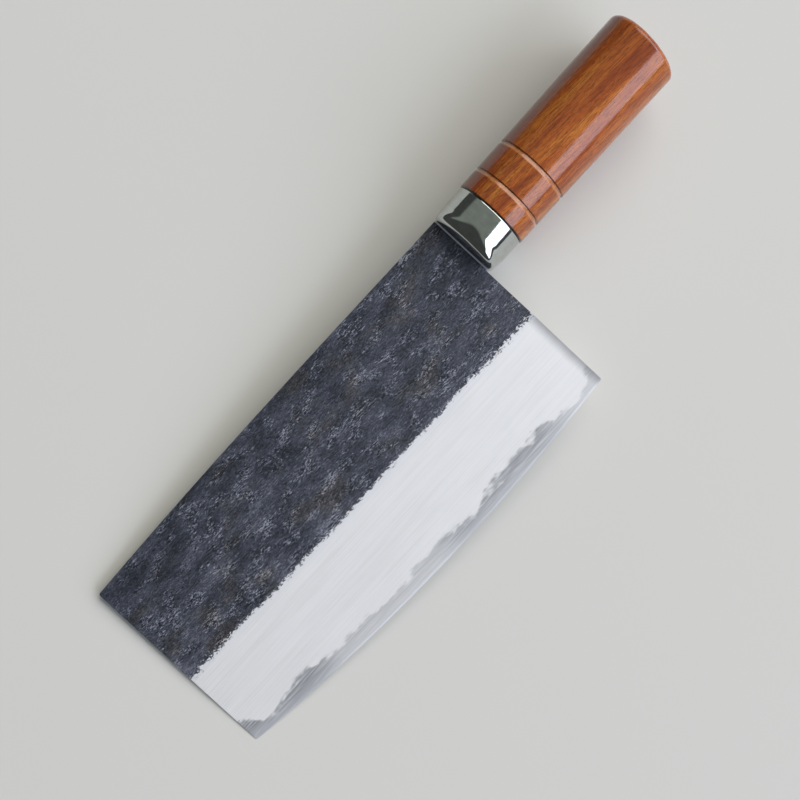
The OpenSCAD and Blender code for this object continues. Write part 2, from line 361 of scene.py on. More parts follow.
def ring_tube(rings: np.ndarray) -> tuple[list, list]:
    """Join rings of points into a closed ring-shaped body, the last ring back to the first.

    Args:
        rings: Points, rings by places by three.

    Returns:
        Vertices and faces.
    """
    count, sides = rings.shape[:2]
    index = np.arange(count * sides).reshape(count, sides)
    after = np.roll(index, -1, 0)
    faces = np.stack([index, np.roll(index, -1, 1), np.roll(after, -1, 1), after], -1).reshape(-1, 4)
    return rings.reshape(-1, 3).tolist(), faces.tolist()


@dataclass
class Skins:
    """The two forged soft layers, with a hammered skin above the ground face."""

    frame: KnifeFrame
    shape: BladeShape
    columns: int = 340
    rows: int = 156
    dents: tuple = ((15.0, 0.14, 3.0), (5.0, 0.07, 31.0), (1.9, 0.05, 57.0))
    fade_low: float = 6.0
    fade_rim: float = 1.2
    rounds: int = 4

    def relief(self, x: np.ndarray, y: np.ndarray, side: Side) -> np.ndarray:
        """Depth of the hammered skin below the flat, fading out at the grind line and the rims.

        Args:
            x: Places along the blade.
            y: Heights.
            side: The face of the blade.

        Returns:
            Depths in millimetres.
        """
        depth = np.zeros(x.size)
        for size, deep, offset in self.dents:
            seed = offset * side.value
            depth += [deep * (0.5 + noise.noise((a / size, b / size, seed))) for a, b in zip(x.ravel(), y.ravel())]
        above = ease((y - self.shape.grind_y(x)) / self.fade_low)
        rim = np.minimum(self.shape.spine_y(x) - y, x - self.shape.front_x(y))
        return np.clip(depth.reshape(x.shape), 0.0, None) * above * ease(rim / self.fade_rim)

    def sheet(self, side: Side) -> tuple[list, list]:
        """Build one soft layer in front of the ferrule.

        Args:
            side: The face of the blade.

        Returns:
            Points and faces.
        """
        shape = self.shape
        # Ends and heights depend on each other, so a few rounds bring them together
        along = np.linspace(0.0, 1.0, self.columns)[None, :]
        up = np.linspace(0.0, 1.0, self.rows)[:, None]
        x = -shape.length * (1 - along) * np.ones_like(up)
        for _ in range(self.rounds):
            y = shape.clad_y(x) + (shape.spine_y(x) - shape.clad_y(x)) * up
            front, heel = shape.front_x(y), shape.heel_x(y)
            x = front + (heel - front) * along
        flat = shape.flat_z(x) - self.relief(x, y, side)
        face = np.minimum(flat, shape.ground_z(x, y))
        outer = np.stack([x, y, face * side.value], -1)
        inner = np.stack([x, y, shape.core_z(y) * side.value], -1)
        return closed_sheet(outer, inner)

    def neck(self, side: Side) -> tuple[list, list]:
        """Build the layer's part of the neck, which the ferrule hides.

        Args:
            side: The face of the blade.

        Returns:
            Points and faces.
        """
        shape = self.shape
        half, top = shape.neck_w / 2, shape.neck_t / 2
        ends = (shape.neck_from, shape.neck_len)
        corners = [(x, y, z) for x in ends for y in (-half, half) for z in (shape.core_z(y), top)]
        points = [(x, y, z * side.value) for x, y, z in corners]
        faces = [(0, 1, 3, 2), (4, 6, 7, 5), (0, 4, 5, 1), (2, 3, 7, 6), (0, 2, 6, 4), (1, 5, 7, 3)]
        return points, faces

    def build(self, side: Side, material: bpy.types.Material) -> None:
        """Build one layer and seat it.

        Args:
            side: The face of the blade.
            material: The forged finish.
        """
        points, faces = self.sheet(side)
        more_points, more_faces = self.neck(side)
        faces += [[len(points) + k for k in face] for face in more_faces]
        name = side.name.lower()
        mesh = bpy.data.meshes.new(f"{name}_forged_skin")
        mesh.from_pydata(points + more_points, [], faces)
        finish_mesh(mesh, self.frame)
        seat(mesh, f"{name}_cladding", Slot.CLADDING, material)


@dataclass
class Ferrule:
    """The hollow polished ferrule, from its squared front face to its round rear."""

    frame: KnifeFrame
    length: float = 16.4
    front_w: float = 30.0
    front_t: float = 19.0
    rear_d: float = 31.6
    nose_len: float = 7.4
    front_square: float = 3.4
    side_r: float = 1.8
    rim_edge: float = 0.03
    rear_edge: float = 0.5
    wall: float = 1.2
    front_wall: float = 2.0
    socket_depth: float = 6.4
    seat_step: float = 0.5
    slot_w: float = 21.3
    slot_t: float = 3.3
    sides: int = 384
    nose_steps: int = 48
    rear_steps: int = 4
    cavity_rings: int = 12

    def quarter(self, x: float, length: float) -> float:
        """Height of a quarter of a round over its length."""
        held = min(1.0, max(0.0, x / length))
        return math.sqrt(1 - (1 - held) ** 2)

    def ring(self, x: float, inset: float = 0.0) -> np.ndarray:
        """Ring of the outer form at a place.

        Args:
            x: Place behind the front face.
            inset: How far it is drawn in.

        Returns:
            The ring's points.
        """
        rear = float(ease(x / self.nose_len))
        half_w = (self.front_w + (self.rear_d - self.front_w) * rear) / 2
        half_w -= self.side_r * (1 - self.quarter(x, self.side_r)) + inset
        swell = self.quarter(x, self.nose_len)
        half_t = (self.front_t + (self.rear_d - self.front_t) * swell) / 2 - inset
        power = 2 / (self.front_square + (2 - self.front_square) * rear)
        turns = np.linspace(0, 2 * math.pi, self.sides, endpoint=False)
        c, s = np.cos(turns), np.sin(turns)
        return self.at(x, half_w * np.sign(c) * np.abs(c) ** power, half_t * np.sign(s) * np.abs(s) ** power)

    def slot_ring(self, x: float) -> np.ndarray:
        """Rectangle of the neck's slot, met by rays from the middle through the front face's outline.

        Args:
            x: Place behind the front face.

        Returns:
            The ring's points.
        """
        front = self.ring(0.0)
        scale = np.minimum(self.slot_w / 2 / np.maximum(np.abs(front[:, 1]), 1e-6),
                           self.slot_t / 2 / np.maximum(np.abs(front[:, 2]), 1e-6))
        return self.at(x, front[:, 1] * scale, front[:, 2] * scale)

    def at(self, x: float, y: np.ndarray, z: np.ndarray) -> np.ndarray:
        """Stack one ring's coordinates."""
        return np.stack([np.full(len(y), x), y, z], -1)

    def build(self, material: bpy.types.Material) -> None:
        """Build the ferrule and seat it.

        Args:
            material: The polished finish.
        """
        cavity_end = self.length - self.socket_depth
        deep = self.wall + self.seat_step
        nose = [self.nose_len * (1 - math.cos(math.pi / 2 * i / self.nose_steps)) for i in range(self.nose_steps + 1)]
        rings = [self.slot_ring(0.0), self.ring(0.0, self.rim_edge), self.ring(self.rim_edge)]
        rings += [self.ring(x) for x in nose]
        for i in range(self.rear_steps + 1):
            turn = math.pi / 2 * i / self.rear_steps
            place = self.length - self.rear_edge * (1 - math.sin(turn))
            rings.append(self.ring(place, self.rear_edge * (1 - math.cos(turn))))
        rings += [self.ring(self.length, self.wall), self.ring(cavity_end, self.wall), self.ring(cavity_end, deep)]
        rings += [self.ring(x, deep) for x in np.linspace(cavity_end, self.front_wall, self.cavity_rings)[1:]]
        rings.append(self.slot_ring(self.front_wall))
        points, faces = ring_tube(np.array(rings))
        mesh = bpy.data.meshes.new("ferrule_shell")
        mesh.from_pydata(points, [], faces)
        finish_mesh(mesh, self.frame)
        seat(mesh, "ferrule", Slot.FERRULE, material)


class Wire:
    """The output of a node. Sums that are written with it become Math nodes."""

    def __init__(self, nodes: "Nodes", socket: bpy.types.NodeSocket) -> None:
        """Hold one output of a node tree."""
        self.nodes, self.socket = nodes, socket

    def __add__(self, other: "Wire | float") -> "Wire":
        """This wire plus another wire or a number."""
        return self.nodes.add("ShaderNodeMath", (self, other), operation="ADD")

    def __sub__(self, other: "Wire | float") -> "Wire":
        """This wire less another wire or a number."""
        return self.nodes.add("ShaderNodeMath", (self, other), operation="SUBTRACT")

    def __rsub__(self, other: float) -> "Wire":
        """A number less this wire."""
        return self.nodes.add("ShaderNodeMath", (other, self), operation="SUBTRACT")

    def __mul__(self, other: "Wire | float") -> "Wire":
        """This wire times another wire or a number."""
        return self.nodes.add("ShaderNodeMath", (self, other), operation="MULTIPLY")

    def __truediv__(self, other: "Wire | float") -> "Wire":
        """This wire divided by another wire or a number."""
        return self.nodes.add("ShaderNodeMath", (self, other), operation="DIVIDE")


class Nodes:
    """A node tree, with one function that adds a node."""

    def __init__(self, tree: bpy.types.NodeTree) -> None:
        """Hold a node tree."""
        self.tree = tree

    def feed(self, node: bpy.types.Node, feeds: dict | tuple) -> None:
        """Link or set some inputs of a node.

        Args:
            node: The node.
            feeds: Wires, values or hex colours, in the order of the inputs or by name or index.
        """
        for key, value in feeds.items() if isinstance(feeds, dict) else enumerate(feeds):
            if isinstance(value, Wire):
                self.tree.links.new(value.socket, node.inputs[key])
            else:
                node.inputs[key].default_value = srgb(value) if isinstance(value, str) else value

    def add(self, kind: str, feeds: dict | tuple = (), out: int | str = 0, stops: tuple = (),
            **settings) -> Wire | None:
        """Add a node.

        Args:
            kind: The node's type name.
            feeds: What goes in, as feed takes it.
            out: Name or index of the output that is wanted.
            stops: Places and hex colours of a colour ramp.
            **settings: The node's own properties.

        Returns:
            The output, or nothing if the node has none.
        """
        node = self.tree.nodes.new(kind)
        for key, value in settings.items():
            setattr(node, key, value)
        self.feed(node, feeds)
        for _ in stops[2:]:
            node.color_ramp.elements.new(0.5)
        for index, (place, colour) in enumerate(stops):
            element = node.color_ramp.elements[index]
            element.position, element.color = place, srgb(colour)
        return Wire(self, node.outputs[out]) if node.outputs else None


class TurningTree(Nodes):
    """A Geometry Nodes tree with named inputs, run once on a mesh."""

    def __init__(self, name: str, inputs: dict[str, str]) -> None:
        """Start a tree.

        Args:
            name: The tree's name.
            inputs: Input name to socket type; a geometry comes in and goes out besides.
        """
        super().__init__(bpy.data.node_groups.new(name, "GeometryNodeTree"))
        self.sockets = {}
        for label, kind in {"Geometry": "NodeSocketGeometry", **inputs}.items():
            self.sockets[label] = self.tree.interface.new_socket(name=label, in_out="INPUT", socket_type=kind)
        self.tree.interface.new_socket(name="Geometry", in_out="OUTPUT", socket_type="NodeSocketGeometry")
        outputs = self.add("NodeGroupInput").socket.node.outputs
        self.given = [Wire(self, outputs[label]) for label in self.sockets]

    def run(self, base: bpy.types.Mesh, name: str, values: dict) -> bpy.types.Mesh:
        """Run the tree on a mesh and keep the result as a plain mesh.

        Args:
            base: The mesh that comes in.
            name: Name of the new mesh.
            values: Input name to value.

        Returns:
            The new mesh.
        """
        holder = bpy.data.objects.new(f"{name}_base", base)
        bpy.context.collection.objects.link(holder)
        modifier = holder.modifiers.new("nodes", "NODES")
        modifier.node_group = self.tree
        for label, value in values.items():
            modifier[self.sockets[label].identifier] = value
        ready = holder.evaluated_get(bpy.context.evaluated_depsgraph_get())
        mesh = bpy.data.meshes.new_from_object(ready)
        mesh.name = name
        holder.modifiers.clear()
        bpy.data.objects.remove(holder)
        bpy.data.meshes.remove(base)
        return mesh


@dataclass
class Handle:
    """The turned wood handle: a profile revolved about its axis, with a spigot, grooves and a bore."""

    frame: KnifeFrame
    ferrule_len: float = 16.4
    socket_depth: float = 6.4
    spigot_r: float = 14.5
    wood_len: float = 89.4
    front_r: float = 16.15
    butt_wide_r: float = 16.6
    wood_edge: float = 0.6
    butt_r: float = 3.2
    butt_dome: float = 0.3
    butt_tilt_deg: float = 3.4
    tilt_reach: float = 4.0
    groove_place: float = 9.8
    groove_pitch: float = 14.2
    groove_w: float = 2.2
    groove_depth: float = 0.6
    groove_slope: float = 0.85
    bore_r: float = 4.5
    bore_end: float = 85.0
    sides: int = 192
    ring_gap: float = 0.9
    slope_rings: int = 12
    wall_rings: int = 4
    edge_steps: int = 5
    butt_steps: int = 14
    face_rings: int = 9

    def grooves(self) -> list[float]:
        """Places of the bottoms of the two turned grooves."""
        first = self.ferrule_len + self.groove_place
        return [first, first + self.groove_pitch]

    def wood_r(self, x: float) -> float:
        """Radius of the wood at a place, without its grooves.

        Args:
            x: Place along the handle.

        Returns:
            The radius.
        """
        widest = self.ferrule_len + self.wood_len - self.butt_r
        share = (x - self.ferrule_len) / (widest - self.ferrule_len)
        return self.front_r + (self.butt_wide_r - self.front_r) * float(ease(share))

    def skin_r(self, x: float) -> float:
        """Radius of the wood at a place, with its grooves.

        Args:
            x: Place along the handle.

        Returns:
            The radius.
        """
        radius = self.wood_r(x)
        for groove in self.grooves():
            before, behind = self.groove_w * self.groove_slope, self.groove_w * (1 - self.groove_slope)
            share = max(0.0, 1 - (groove - x) / before if x <= groove else 1 - (x - groove) / behind)
            if share > 0:
                shape = float(ease(share)) if x <= groove else share
                radius -= self.groove_depth * shape
        return radius

    def places(self) -> list[float]:
        """Places of the rings along the wood, close together in the grooves.

        Returns:
            The places, in order.
        """
        start, end = self.ferrule_len + self.wood_edge, self.ferrule_len + self.wood_len - self.butt_r
        found = set(np.linspace(start, end, int((end - start) / self.ring_gap)).round(4).tolist())
        for groove in self.grooves():
            before, behind = self.groove_w * self.groove_slope, self.groove_w * (1 - self.groove_slope)
            found |= set(np.linspace(groove - before, groove, self.slope_rings).round(4).tolist())
            found |= set(np.linspace(groove, groove + behind, self.wall_rings).round(4).tolist())
        return sorted(found)

    def profile(self) -> list[tuple[float, float, float]]:
        """Profile from the bottom of the bore round to the butt.

        Returns:
            Place, radius and share of the tilt of each point.
        """
        front, butt = self.ferrule_len, self.ferrule_len + self.wood_len
        seat_x = front - self.socket_depth
        points = [(self.bore_end, 0.0), (self.bore_end, self.bore_r), (seat_x, self.bore_r), (seat_x, self.spigot_r)]
        points += [(front, self.spigot_r), (front, self.front_r - self.wood_edge)]
        for i in range(1, self.edge_steps):
            turn = math.pi / 2 * i / self.edge_steps
            points.append((front + self.wood_edge * (1 - math.cos(turn)),
                           self.front_r - self.wood_edge * (1 - math.sin(turn))))
        points += [(x, self.skin_r(x)) for x in self.places()]
        widest = butt - self.butt_r
        for i in range(1, self.butt_steps + 1):
            turn = math.pi / 2 * i / self.butt_steps
            points.append((widest + (self.butt_r - self.butt_dome) * math.sin(turn),
                           self.butt_wide_r - self.butt_r * (1 - math.cos(turn))))
        edge_r = self.butt_wide_r - self.butt_r
        face = np.linspace(edge_r, 0.0, self.face_rings)[1:]
        points += [(butt - self.butt_dome * (r / edge_r) ** 2, r) for r in face]
        reach = self.tilt_reach
        return [(x, r, float(ease((x - widest + reach) / (reach + self.butt_r)))) for x, r in points]

    def revolve(self) -> TurningTree:
        """Tree that revolves the profile's points about the X axis and tilts the butt.

        Returns:
            The tree.
        """
        tree = TurningTree("turned_wood", {"Sides": "NodeSocketInt", "Tilt": "NodeSocketFloat",
                                           "Reach": "NodeSocketFloat", "Wood": "NodeSocketMaterial"})
        profile, sides, tilt, reach, wood = tree.given
        count = tree.add("GeometryNodeAttributeDomainSize", {"Geometry": profile}, "Point Count")
        around = sides + 1.0
        grid = tree.add("GeometryNodeMeshGrid", {"Vertices X": count, "Vertices Y": around})
        index = tree.add("GeometryNodeInputIndex")
        row = tree.add("ShaderNodeMath", ((index + 0.5) / around,), operation="FLOOR")
        angle = (index - row * around) * math.tau / sides
        place = tree.add("GeometryNodeInputPosition")
        point = tree.add("GeometryNodeSampleIndex", {"Geometry": profile, "Value": place, "Index": row},
                         data_type="FLOAT_VECTOR")
        x, radius, share = (tree.add("ShaderNodeSeparateXYZ", (point,), axis) for axis in "XYZ")
        y = radius * tree.add("ShaderNodeMath", (angle,), operation="COSINE")
        z = radius * tree.add("ShaderNodeMath", (angle,), operation="SINE")
        turned = tree.add("ShaderNodeCombineXYZ", (x - (reach - y) * tilt * share, y, z))
        moved = tree.add("GeometryNodeSetPosition", {"Geometry": grid, "Position": turned})
        merged = tree.add("GeometryNodeMergeByDistance", {"Geometry": moved, "Distance": MERGE_MM})
        real = tree.add("GeometryNodeRealizeInstances", {"Geometry": merged})
        dressed = tree.add("GeometryNodeSetMaterial", {"Geometry": real, "Material": wood})
        tree.add("NodeGroupOutput", {"Geometry": dressed})
        return tree

    def build(self, material: bpy.types.Material) -> None:
        """Build the handle and seat it.

        Args:
            material: The lacquered wood.
        """
        profile = self.profile()
        base = bpy.data.meshes.new("handle_profile")
        base.from_pydata(profile, [(i, i + 1) for i in range(len(profile) - 1)], [])
        values = {"Sides": self.sides, "Tilt": math.tan(math.radians(self.butt_tilt_deg)),
                  "Reach": self.butt_wide_r - self.butt_r, "Wood": material}
        mesh = self.revolve().run(base, "turned_handle", values)
        finish_mesh(mesh, self.frame)
        seat(mesh, "handle", Slot.WOOD, material)


class Shader(Nodes):
    """A material's node tree, in millimetres of the knife's own frame."""

    def __init__(self, name: str, frame: KnifeFrame) -> None:
        """Start a material with a plain surface.

        Args:
            name: What the material is.
            frame: The knife's frame.
        """
        self.material = bpy.data.materials.new(name)
        self.material.use_nodes = True
        super().__init__(self.material.node_tree)
        self.tree.nodes.clear()
        self.surface = self.add("ShaderNodeBsdfPrincipled")
        self.add("ShaderNodeOutputMaterial", {"Surface": self.surface})
        coords = self.add("ShaderNodeTexCoord", out="Object")
        self.mm = self.add("ShaderNodeMapping", {
            "Vector": coords, "Location": frame.origin, "Rotation": frame.turn.to_euler(), "Scale": (MM, MM, MM),
        }, vector_type="TEXTURE")
        self.x, self.y, self.z = (self.add("ShaderNodeSeparateXYZ", (self.mm,), axis) for axis in "XYZ")
        self.across = frame.turn.col[1]

    def blotches(self, size: tuple, detail: float = 4.0, offset: float = 0.0,
                 roughness: float = 0.5, distortion: float = 0.0, turn: float = 0.0) -> Wire:
        """Noise from 0 to 1 whose blotches have a size in millimetres.

        Args:
            size: Blotch size along X, Y and Z, in millimetres.
            detail: Octaves of finer noise.
            offset: Shift of the pattern, to tell two patterns apart.
            roughness: Weight of the finer octaves.
            distortion: How far the pattern is pulled about.
            turn: Turn of the pattern about Z, in degrees.

        Returns:
            The noise.
        """
        vector = self.mm
        if turn:
            vector = self.add("ShaderNodeMapping", {"Vector": vector, "Rotation": (0.0, 0.0, math.radians(turn))})
        spread = self.add("ShaderNodeMapping", {
            "Vector": vector, "Scale": [1 / s for s in size], "Location": (offset, offset * 0.7, offset * 1.3)})
        return self.add("ShaderNodeTexNoise", {
            "Vector": spread, "Scale": 1.0, "Detail": detail, "Roughness": roughness, "Distortion": distortion})

    def stain(self, base: Wire, *stains: tuple) -> Wire:
        """Lay stains over a colour, in order.

        Args:
            base: The colour underneath.
            *stains: For each, the wire that it follows, the wire's values where the stain starts
                and where it is full, its strength and its colour.

        Returns:
            The stained colour.
        """
        for follows, start, full, strength, colour in stains:
            share = self.add("ShaderNodeMapRange", (follows, start, full, 0.0, strength), **SMOOTH)
            base = self.add("ShaderNodeMix", {FACTOR: share, FIRST: base, SECOND: colour}, MIXED, **COLOURS)
        return base

    def finish(self, feeds: dict) -> bpy.types.Material:
        """Feed the surface and return the material."""
        self.feed(self.surface.socket.node, feeds)
        return self.material


@dataclass(frozen=True)
class GroundSteel:
    """Satin carbon steel, ground on a belt with fine lines along the blade.

    The lines scatter light across the blade, so finely that the face looks almost white and
    shows little of a mirror image: the metallic value is low for that. The hard core is a soft,
    darker, streaky band along the edge, and the bevel is a paler line below it. The soft
    darkening of the face over the last few millimetres before the heel line is a painted
    reflection.
    """

    shape: BladeShape
    name: str = "belt_ground_carbon_steel"
    tones: tuple = ((0.3, "#ecebe9"), (0.5, "#f7f6f5"), (0.7, "#fefdfc"))
    core_tones: tuple = ((0.32, "#8f9092"), (0.5, "#abacaf"), (0.68, "#d3d4d6"))
    bevel_colour: str = "#cfd0d4"
    # Painted reflection: colour of the soft darkening before the heel line
    heel_painted_reflection_colour: str = "#77787c"
    rim_colour: str = "#5f6064"
    # Real lines are about 0.05 mm apart; they are drawn as coarse as the picture can show
    line_mm: tuple = (26.0, 0.3, 0.3)
    stroke_mm: tuple = (55.0, 1.4, 1.4)
    cloud_mm: tuple = (30.0, 11.0, 11.0)
    streak_mm: tuple = (14.0, 0.6, 0.6)
    bump_mm: tuple = (8.0, 5.0, 5.0)
    bump_height: float = 8.0
    wisp_mm: tuple = (5.0, 1.3, 1.3)
    wisp_height: float = 4.5
    # How much of the tone the lines, the strokes and the clouds make up
    shares: tuple = (0.6, 0.15, 0.25)
    line_depth: float = 0.012
    roughness: float = 0.48
    line_roughness: float = 0.12
    anisotropy: float = 0.9
    metallic: float = 0.38

    def edge_y(self, shader: Shader) -> Wire:
        """Height of the cutting edge, as a parabola."""
        run = shader.x + self.shape.belly_place
        return run * run * (0.5 / self.shape.edge_radius) - self.shape.edge_depth

    def line_y(self, shader: Shader, edge: Wire) -> Wire:
        """Height of the soft layers' waving end.

        Args:
            shader: The material's nodes.
            edge: Height of the cutting edge.

        Returns:
            The height.
        """
        total = 0.0
        for rate, start, share in CLAD_WAVES:
            angle = shader.x * math.radians(rate) + math.radians(start)
            total = shader.add("ShaderNodeMath", (angle,), operation="SINE") * share + total
        return total * (self.shape.clad_wave / CLAD_WAVE_SUM) + edge + self.shape.clad_rise

    def core_share(self, shader: Shader, edge: Wire) -> Wire:
        """How much of the hard core shows, with bumps and wisps along its border.

        Args:
            shader: The material's nodes.
            edge: Height of the cutting edge.

        Returns:
            1 on the clear core, 0 on the soft layer.
        """
        x = shader.x
        above = shader.y - self.line_y(shader, edge)
        above = above + (shader.blotches(self.bump_mm, 2, 58.0) - 0.5) * self.bump_height
        above = above + (shader.blotches(self.wisp_mm, 4, 33.0) - 0.5) * self.wisp_height
        above = above + shader.add("ShaderNodeMapRange", (x, -190.0, -203.0), **SMOOTH) * -5.0
        band = shader.add("ShaderNodeMapRange", (above, 1.0, -1.2), **SMOOTH)
        # The core is clear at the tip, fainter in the middle and clear again before the heel
        middle = shader.add("ShaderNodeMapRange", (x, -100.0, -78.0), **SMOOTH)
        middle = middle * shader.add("ShaderNodeMapRange", (x, -14.0, -34.0), **SMOOTH)
        tip = shader.add("ShaderNodeMapRange", (x, -145.0, -170.0), **SMOOTH)
        return band * shader.add("ShaderNodeMix", {FACTOR: tip, FROM: middle * 0.4 + 0.5, TO: 1.0})

    def layers(self, shader: Shader) -> tuple[Wire, Wire, Wire]:
        """Look of a ground face.

        Args:
            shader: The material's nodes.

        Returns:
            Colour, roughness and height of the lines.
        """
        lines = shader.blotches(self.line_mm, 3, 9.0)
        strokes = shader.blotches(self.stroke_mm, 3, 17.0)
        cloud = shader.blotches(self.cloud_mm, 2, 4.0)
        tone = lines * self.shares[0] + strokes * self.shares[1] + cloud * self.shares[2]
        soft = shader.add("ShaderNodeValToRGB", (tone,), stops=self.tones)
        streak = shader.blotches(self.streak_mm, 4, 21.0, roughness=0.6)
        core = shader.add("ShaderNodeValToRGB", (streak,), stops=self.core_tones)
        edge = self.edge_y(shader)
        core = shader.stain(core, (shader.y - edge, 5.5, 0.5, 0.6, self.bevel_colour))
        shown = self.core_share(shader, edge)
        colour = shader.add("ShaderNodeMix", {FACTOR: shown, FIRST: soft, SECOND: core}, MIXED, **COLOURS)
        # Painted reflection: the ground face darkens softly over the last few millimetres before the heel line
        colour = shader.stain(colour, (shader.x + cloud * 3.0, -4.0, 1.5, 0.7, self.heel_painted_reflection_colour))
        return colour, lines * self.line_roughness + self.roughness, lines

    def finish(self, shader: Shader, feeds: dict) -> bpy.types.Material:
        """Feed a blade material, whose scatter runs across the ground lines.

        Args:
            shader: The material's nodes.
            feeds: Colour, roughness, metallic and normal.

        Returns:
            The material.
        """
        across = shader.add("ShaderNodeVectorTransform", (shader.across,),
                            vector_type="VECTOR", convert_from="OBJECT", convert_to="WORLD")
        return shader.finish({"Tangent": across, "Anisotropic": self.anisotropy, **feeds})

    def make(self, frame: KnifeFrame) -> bpy.types.Material:
        """Build the material of the hard core, dull where it shows in the blade's rims.

        Args:
            frame: The knife's frame.

        Returns:
            The material.
        """
        shader = Shader(self.name, frame)
        colour, rough, lines = self.layers(shader)
        rim = -self.shape.grind_front
        colour = shader.stain(colour, (shader.y, rim - 3.0, rim, 1.0, self.rim_colour))
        normal = shader.add("ShaderNodeBump", {"Height": lines, "Distance": self.line_depth * MM})
        return self.finish(shader, {
            "Base Color": colour, "Roughness": rough, "Metallic": self.metallic, "Normal": normal})


@dataclass(frozen=True)
class ForgedSkin:
    """Soft iron with the black scale of the forge, ground bright below the grind line.

    The scale is a matt blue-black oxide, wrinkled and pitted by the hammer, so it catches light
    in short flecks. It ends in a ragged line with islands, where the grinding belt ran out. Just
    below that line a speckled bluish-white fringe is a painted highlight of the window.
    """

    ground: GroundSteel
    name: str = "forged_iron_with_black_scale"
    blue_black: tuple = (
        (0.3, "#12151b"), (0.44, "#2c2f38"), (0.56, "#444752"), (0.68, "#646875"), (0.84, "#a2a5b2"))
    brown_black: tuple = (
        (0.3, "#151312"), (0.44, "#302d2c"), (0.56, "#494645"), (0.68, "#696564"), (0.84, "#a5a09d"))
    # Painted highlight: colour of the window's sheen just below the grind line
    fringe_painted_highlight_colour: str = "#eff0f5"
    tooth_mm: tuple = (1.5, 0.9, 9.0)
    sway_mm: tuple = (14.0, 9.0, 9.0)
    sway_height: float = 2.6
    cloud_mm: tuple = (14.0, 6.0, 6.0)
    wrinkle_mm: tuple = (2.0, 0.5, 0.5)
    grain_mm: tuple = (0.8, 0.36, 0.36)
    patch_mm: tuple = (9.0, 5.0, 5.0)
    rust_mm: tuple = (24.0, 16.0, 16.0)
    speck_mm: tuple = (0.9, 0.5, 0.5)
    wrinkle_depth: float = 0.2
    metallic: float = 0.15

    def grind_height(self, shader: Shader) -> Wire:
        """Height above the grind line.

        Args:
            shader: The material's nodes.

        Returns:
            The height in millimetres.
        """
        shape = self.ground.shape
        share = shader.x * (-1 / shape.length)
        bow = share * (1.0 - share) * (4 * shape.grind_bow)
        line = share * (shape.grind_heel - shape.grind_front) - shape.grind_heel - bow
        return shader.y - line

    def mask(self, shader: Shader, height: Wire) -> Wire:
        """Where the scale is left.

        Args:
            shader: The material's nodes.
            height: Height above the grind line.

        Returns:
            1 on the scale, 0 on the ground face and on the worn rim at the ferrule.
        """
        teeth = shader.blotches(self.tooth_mm, 6, 2.0, roughness=0.72, distortion=0.5, turn=12.0)
        sway = shader.blotches(self.sway_mm, 2, 41.0)
        ends = shader.add("ShaderNodeMapRange", (shader.x, -45.0, -18.0), **SMOOTH)
        ends = ends + shader.add("ShaderNodeMapRange", (shader.x, -165.0, -190.0), **SMOOTH)
        ragged = (teeth - 0.5) * (ends * 6.0 + 8.0) + (sway - 0.5) * self.sway_height
        left = shader.add("ShaderNodeMapRange", (height + ragged, -0.14, 0.14), **SMOOTH)
        return left * shader.add("ShaderNodeMapRange", (shader.x, -0.3, -0.38), **SMOOTH)

    def scale(self, shader: Shader) -> tuple[Wire, Wire, Wire]:
        """Look of the black scale, with rougher patches and a brown cast here and there.

        Args:
            shader: The material's nodes.

        Returns:
            Colour, roughness and height of the wrinkles.
        """
        cloud = shader.blotches(self.cloud_mm, 4, 0.0, roughness=0.6)
        wrinkle = shader.blotches(self.wrinkle_mm, 4, 14.0, roughness=0.7, distortion=0.9, turn=4.0)
        grain = shader.blotches(self.grain_mm, 3, 71.0, roughness=0.6)
        patch = shader.add("ShaderNodeMapRange", (shader.blotches(self.patch_mm, 3, 90.0), 0.48, 0.62), **SMOOTH)
        height = wrinkle * 0.65 + grain * 0.35
        tone = (height - 0.5) * (patch * 2.2 + 1.3) + (cloud * 0.5 + 0.25) + shader.y * -0.0016
        brown = shader.add("ShaderNodeValToRGB", (tone,), stops=self.brown_black)
        colour = shader.add("ShaderNodeValToRGB", (tone,), stops=self.blue_black)
        colour = shader.stain(colour, (shader.blotches(self.rust_mm, 4, 120.0), 0.5, 0.66, 0.6, brown))
        worn = shader.add("ShaderNodeMapRange", (height, 0.52, 0.62), **SMOOTH)
        return colour, worn * -0.17 + 0.55, height

    def make(self, frame: KnifeFrame) -> bpy.types.Material:
        """Build the material.

        Args:
            frame: The knife's frame.

        Returns:
            The material.
        """
        shader = Shader(self.name, frame)
        height = self.grind_height(shader)
        skin = self.mask(shader, height)
        dark, dark_rough, wrinkle = self.scale(shader)
        bright, bright_rough, lines = self.ground.layers(shader)
        # Painted highlight: a speckled bluish-white fringe just below the grind line, standing for window light on
        # the ground face
        speck = shader.blotches(self.speck_mm, 3, 52.0) * 0.8 + 0.1
        bright = shader.stain(bright, (height, -4.0, -0.5, speck, self.fringe_painted_highlight_colour))
        relief = shader.add("ShaderNodeMix", {FACTOR: skin, FROM: lines * 0.1, TO: wrinkle})
        return self.ground.finish(shader, {
            "Base Color": shader.add("ShaderNodeMix", {FACTOR: skin, FIRST: bright, SECOND: dark}, MIXED, **COLOURS),
            "Roughness": shader.add("ShaderNodeMix", {FACTOR: skin, FROM: bright_rough, TO: dark_rough}),
            "Metallic": shader.add("ShaderNodeMix", {FACTOR: skin, FROM: self.ground.metallic, TO: self.metallic}),
            "Normal": shader.add("ShaderNodeBump", {"Height": relief, "Distance": self.wrinkle_depth * MM}),
        })


